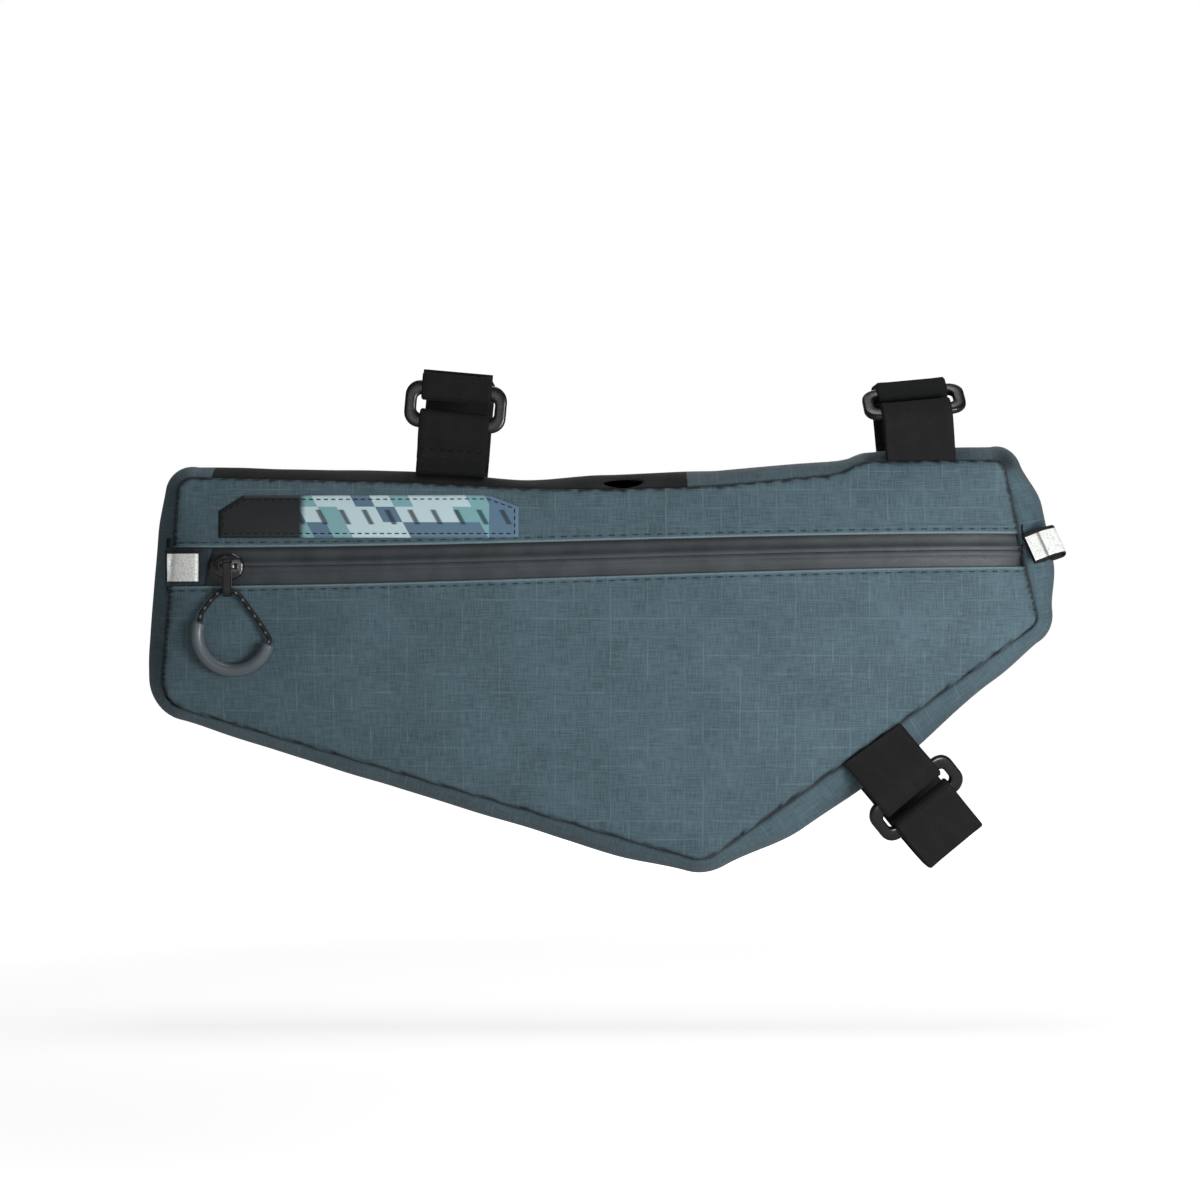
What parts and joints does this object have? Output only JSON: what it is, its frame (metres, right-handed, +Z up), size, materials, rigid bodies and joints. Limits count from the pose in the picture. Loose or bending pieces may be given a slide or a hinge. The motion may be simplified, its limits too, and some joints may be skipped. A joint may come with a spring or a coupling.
{
  "type": "bicycle frame bag",
  "caption": "Narrow cloth bag for a bicycle frame, straight on top and pointed below, with a coated zip along the front, a finger pull, a cable port and webbing loops for the tubes.",
  "frame": {"origin": "on the axis of the top tube that the bag hangs from, midway between its two top strap loops", "axes": "+X towards the bicycle's front along the top tube, -Y towards the side with the zip, +Z up"},
  "size_m": [0.3844, 0.0664, 0.2118],
  "materials": {
    "ripstop_cloth": "matt ripstop weave",
    "dark_cloth": "matt",
    "rubberised_cloth": "satin",
    "coated_zip_tape": "satin coating",
    "black_webbing": "matt weave",
    "black_acetal": "moulded gloss",
    "black_rubber": "satin",
    "black_cord": "braided",
    "black_band": "satin",
    "black_enamelled_zinc": "gloss",
    "reflective_ribbon": "reflective",
    "printed_label": "printed"
  },
  "bodies": {
    "root": {"back_panel": "ripstop_cloth", "front_panel_upper": "ripstop_cloth", "front_panel_lower": "ripstop_cloth", "gusset": "ripstop_cloth", "top_strip": "rubberised_cloth", "zip_tape_upper": "coated_zip_tape", "zip_tape_lower": "coated_zip_tape", "zip_garage": "dark_cloth", "zip_slider": "black_enamelled_zinc", "pull_loop": "black_band", "pull_cord": "black_cord", "pull_grip": "black_rubber", "label_patch": "printed_label", "rear_tab": "reflective_ribbon", "front_tab": "reflective_ribbon", "rear_top_strap": "black_webbing", "rear_top_anchor": "black_webbing", "rear_top_ring": "black_acetal", "front_top_strap": "black_webbing", "front_top_anchor": "black_webbing", "front_top_ring": "black_acetal", "down_tube_strap": "black_webbing", "down_tube_anchor": "black_webbing", "down_tube_ring": "black_acetal"}
  },
  "joints": []
}
